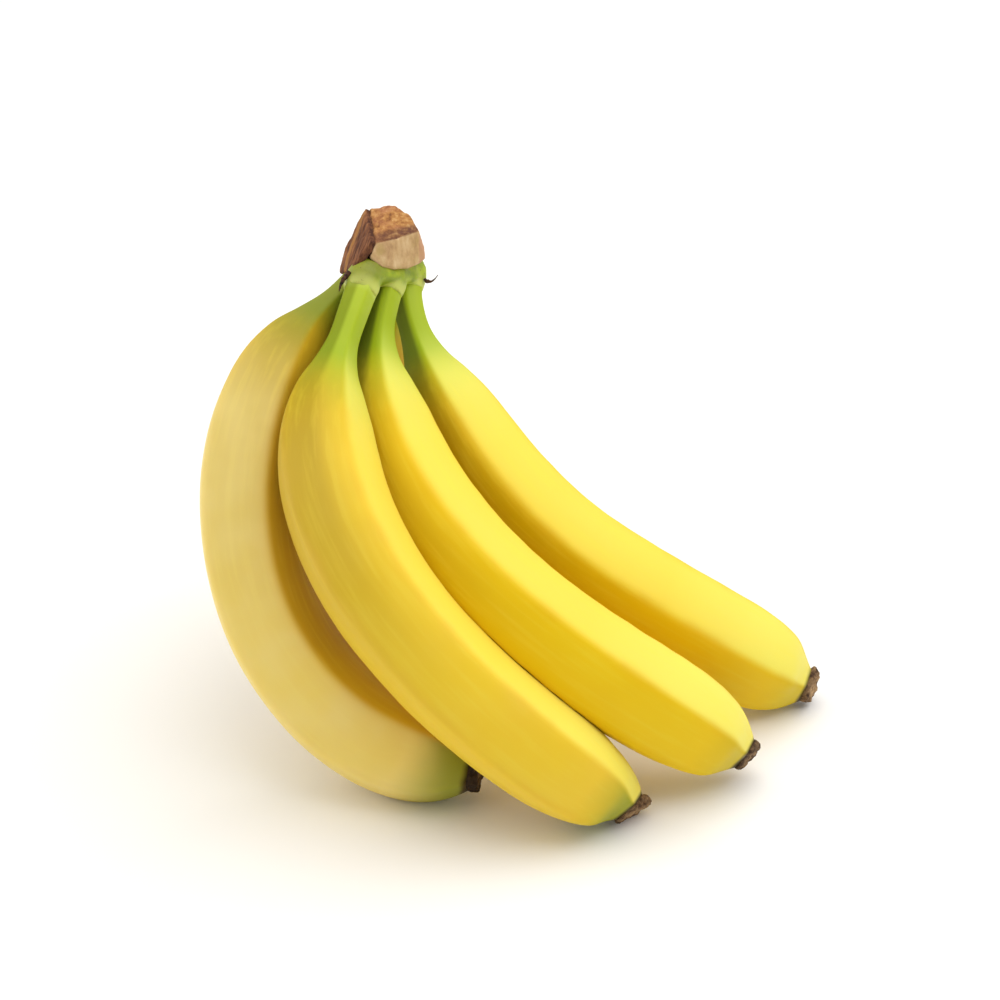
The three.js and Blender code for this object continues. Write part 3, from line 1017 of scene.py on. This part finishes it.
def make_block(material):
    """The brown end of the crown, cut by a knife and dried."""
    rough = hull_object("crown_block_rough", place(BLOCK_CORNERS))
    vertices, normals, faces = remeshed(rough, BLOCK_SMOOTHING)
    top = smoothstep(*TOP_NORMALS, normals[:, 2])
    cut = smoothstep(*CUT_NORMALS, normals @ unit(CUT_FACES)) * (1 - top)
    attributes = {
        "top": top,
        "cut": cut,
        "rim": rim_strength(vertices) * top,
        "blush": smoothstep(*BLUSH_NORMALS, normals[:, 0]) * cut * BLUSH_STRENGTH,
        "edge": 4 * top * (1 - top) * BLOCK_EDGE_STRENGTH,
    }
    torn = relief(vertices, *TORN_LUMPS) + relief(vertices, *TORN_CRUMBS)
    lift = (1 - cut) * torn + cut * relief(vertices, *CUT_RIPPLES)
    vertices = vertices + normals * lift[:, None] * MM
    crown_piece("crown_block", vertices, faces, material, attributes)


def make_strip(material):
    """The torn strip of fibre that runs down the block's left side."""
    outer = place(STRIP_CORNERS)
    faces_way = unit(STRIP_FACES)
    rough = hull_object("strip_rough", np.vstack([outer, outer - faces_way * STRIP_DEPTH * MM]))
    vertices, normals, faces = remeshed(rough, STRIP_SMOOTHING)
    across = unit(np.cross(STRIP_GRAIN, faces_way))
    down = np.cross(faces_way, across)
    grain = np.stack([vertices @ across, vertices @ down, vertices @ faces_way], axis=-1)
    shown = smoothstep(*STRIP_NORMALS, normals @ faces_way)
    from_band = np.abs(grain[:, 0] - grain[:, 0].mean() + STRIP_BAND_SHIFT * MM) / MM
    band = (1 - smoothstep(*STRIP_BAND_EDGE, from_band)) * shown
    attributes = {
        "grain": grain,
        "band": band * STRIP_BAND_STRENGTH,
        # The strip's sides get painted shade.
        "edge": (1 - shown) * STRIP_SIDE_SHADE_STRENGTH,
    }
    lift = relief(grain * GRAIN_STRETCH, *STRIP_FIBRES) + relief(vertices, *STRIP_RAGS)
    vertices = vertices + normals * lift[:, None] * MM
    crown_piece("crown_strip", vertices, faces, material, attributes)


def sleeve_ring(line, distance, radius):
    """A ring of points round a stem, square to its middle line, some way down from its root."""
    share = np.array([max(distance, 0) * MM / line.length])
    points, along, outward, sideways = line.frames(share)
    middle = points[0] + along[0] * min(distance, 0) * MM
    return middle + ring_ways(outward[0], sideways[0], full_turn(SLEEVE_AROUND)) * radius * MM


def rough_collar(lines):
    """A hull round the stem roots joined with a sleeve round each stem."""
    core = [sleeve_ring(line, *ring) for line in lines.values() for ring in SLEEVE_RINGS[:2]]
    parts = [hull_object("collar_core", np.vstack(core))]
    for key, line in lines.items():
        rings = [sleeve_ring(line, *ring) for ring in SLEEVE_RINGS]
        for upper, lower in zip(rings, rings[1:]):
            parts.append(hull_object(f"collar_sleeve_{key}", np.vstack([upper, lower])))
    return joined(parts)


def make_collar(lines, material):
    """One green shoulder that holds all the stems."""
    vertices, normals, faces = remeshed(rough_collar(lines), COLLAR_SMOOTHING)
    lip = SLEEVE_RINGS[-1][0]
    knuckle = np.zeros(len(vertices))
    for line in lines.values():
        away = np.linalg.norm(vertices - line.at(lip * MM / line.length), axis=1) / MM
        knuckle = np.maximum(knuckle, 1 - smoothstep(*KNUCKLE_EDGE, away))
    attributes = {
        "knuckle": knuckle * KNUCKLE_STRENGTH,
        "under_block_shade": smoothstep(*UNDER_BLOCK_SHADE, vertices[:, 2] / MM) * UNDER_BLOCK_SHADE_STRENGTH,
    }
    vertices = vertices + normals * relief(vertices, *COLLAR_LUMPS)[:, None] * MM
    crown_piece("crown_collar", vertices, faces, material, attributes)


# Dry threads ---

THREAD_ROWS = 40
THREAD_AROUND = 14
THREAD_SIDE = (0.3, 0.9, 0.1)  # a way that neither thread runs, to square its rings by
THREAD_LUMP_SIZE = 0.8
THREAD_LUMP_SHARE = 0.35  # of the radius
# Each thread's points in order, and its radius at each of them, in millimetres.
THREADS = {
    "bract_hair": {
        "line": [
            (-25.7, 50, 137.6), (-24.3, 49.6, 136.2), (-23.2, 49.3, 136.4),
            (-21.8, 49.1, 138), (-21, 49, 139.6),
        ],
        "radii": [0.55, 0.65, 0.35, 0.25, 0.1],
    },
    "dry_fibre": {
        "line": [(-49.6, 28.8, 150), (-51.6, 26.8, 148.8), (-52.6, 25, 147.2), (-52.9, 23.4, 145.6)],
        "radii": [0.9, 0.8, 0.5, 0.12],
    },
}


def make_thread(key, thread, seed, material):
    """A thin tapered thread with an uneven surface, along one Bezier curve."""
    steps = np.linspace(0, 1, THREAD_ROWS)
    middle = MiddleLine.curve(place(thread["line"]), steps)
    along = unit(np.gradient(middle, axis=0))
    side = unit(np.cross(along, THREAD_SIDE))
    ring = ring_ways(side, np.cross(along, side), full_turn(THREAD_AROUND))
    knots = np.linspace(0, 1, len(thread["radii"]))
    radius = np.interp(steps, knots, thread["radii"])[:, None] * MM
    points = middle[:, None] + ring * radius[..., None]
    lumps = smooth_noise(points, THREAD_LUMP_SIZE * MM, seed) * radius * THREAD_LUMP_SHARE
    points = points + ring * lumps[..., None]
    vertices = np.vstack([points.reshape(-1, 3), [middle[0], middle[-1]]])
    piece = new_piece(f"{key}_fine", vertices, grid_faces(THREAD_ROWS, THREAD_AROUND), material)
    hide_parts(key)


# Stage ---

VIEW_TARGET = (-6.4, 7.4, 80)  # in the frame, in millimetres
VIEW_DISTANCE = 900
VIEW_ELEVATION = 30
FOCAL_LENGTH = 97.2
FLOOR_REACH = 6  # metres each way
# Square soft boxes: where each hangs and how wide it is, in metres, and its power in watts.
LIGHTS = {
    "key": {"place": (0.5, 0.2, 1.15), "size": 1.9, "power": 20},
    "left": {"place": (-0.7, -0.2, 1.2), "size": 1.2, "power": 5},
    "fill": {"place": (-1.2, 0.45, 0.27), "size": 0.8, "power": 6},
}
LIGHT_COLOUR = (1.0, 0.99, 0.97)
WORLD_COLOUR = (1, 1, 1, 1)
WORLD_STRENGTH = 0.44


def make_camera():
    """Looks at the bunch from in front and above."""
    data = bpy.data.cameras.new("photo_camera")
    data.lens = FOCAL_LENGTH
    camera = linked_object("photo_camera", data)
    elevation = math.radians(VIEW_ELEVATION)
    back = Vector((0, -math.cos(elevation), math.sin(elevation)))
    camera.location = (Vector(VIEW_TARGET) + back * VIEW_DISTANCE) * MM
    camera.rotation_euler = (math.pi / 2 - elevation, 0, 0)
    bpy.context.scene.camera = camera


def make_floor():
    mesh = bpy.data.meshes.new("floor")
    corners = [(x * FLOOR_REACH, y * FLOOR_REACH, 0) for x, y in ((-1, -1), (1, -1), (1, 1), (-1, 1))]
    mesh.from_pydata(corners, [], [(0, 1, 2, 3)])
    mesh.materials.append(floor_finish())
    floor = linked_object("floor", mesh)


def soft_light(name, box):
    """A soft box that looks at the middle of the bunch."""
    data = bpy.data.lights.new(name, "AREA")
    data.size = box["size"]
    data.energy = box["power"]
    data.color = LIGHT_COLOUR
    light = linked_object(name, data)
    light.location = box["place"]
    aim = Vector(VIEW_TARGET) * MM - light.location
    light.rotation_euler = aim.to_track_quat("-Z", "Y").to_euler()


def make_world():
    """An even white room, shown with plain screen colours."""
    world = bpy.data.worlds.new("studio")
    world.use_nodes = True
    background = world.node_tree.nodes["Background"]
    background.inputs["Color"].default_value = WORLD_COLOUR
    background.inputs["Strength"].default_value = WORLD_STRENGTH
    bpy.context.scene.world = world
    bpy.context.scene.view_settings.view_transform = "Standard"


# The bunch ---

def make_bunch():
    lines = {key: MiddleLine(finger["line"]) for key, finger in FINGERS.items()}
    remnant_material = remnant_finish()
    earlier = []
    for seed, (key, finger) in enumerate(FINGERS.items()):
        rim = make_peel(key, finger, lines[key], earlier, seed)
        make_remnant(key, finger, rim, seed, remnant_material)
        earlier.append((finger, lines[key]))
    make_collar(lines, collar_finish())
    make_block(block_finish())
    make_strip(strip_finish())
    thread_material = thread_finish()
    for seed, (key, thread) in enumerate(THREADS.items()):
        make_thread(key, thread, seed, thread_material)


make_camera()
make_floor()
for light_name, soft_box in LIGHTS.items():
    soft_light(light_name, soft_box)
make_world()
make_bunch()
